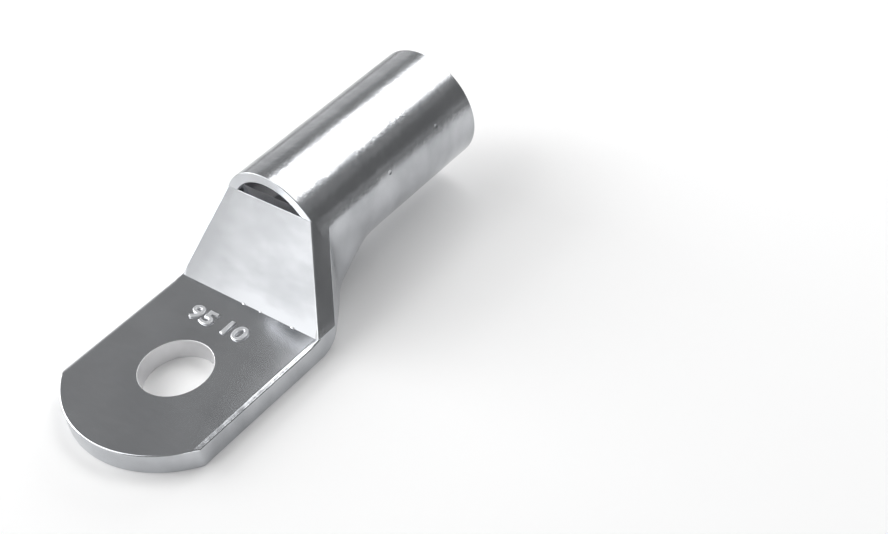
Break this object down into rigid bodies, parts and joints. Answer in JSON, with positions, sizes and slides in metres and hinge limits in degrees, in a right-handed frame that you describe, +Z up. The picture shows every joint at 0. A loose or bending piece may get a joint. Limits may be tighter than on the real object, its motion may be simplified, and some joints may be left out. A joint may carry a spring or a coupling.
{
  "type": "cable lug",
  "caption": "Tubular cable lug: a round crimp barrel pressed flat at one end into a wide palm with a stud hole, with an inspection slit where the two meet.",
  "frame": {"origin": "centre of the stud hole, on the palm's underside, which is the face that is bolted down", "axes": "+X from the stud hole along the barrel towards the cable, +Y across the palm, +Z up out of the palm's top, along the stud"},
  "size_m": [0.0716, 0.0268, 0.0206],
  "materials": {
    "tinned_copper": "bright tin plating over copper, lightly frosted"
  },
  "bodies": {
    "root": {"lug": "tinned_copper"}
  },
  "joints": []
}
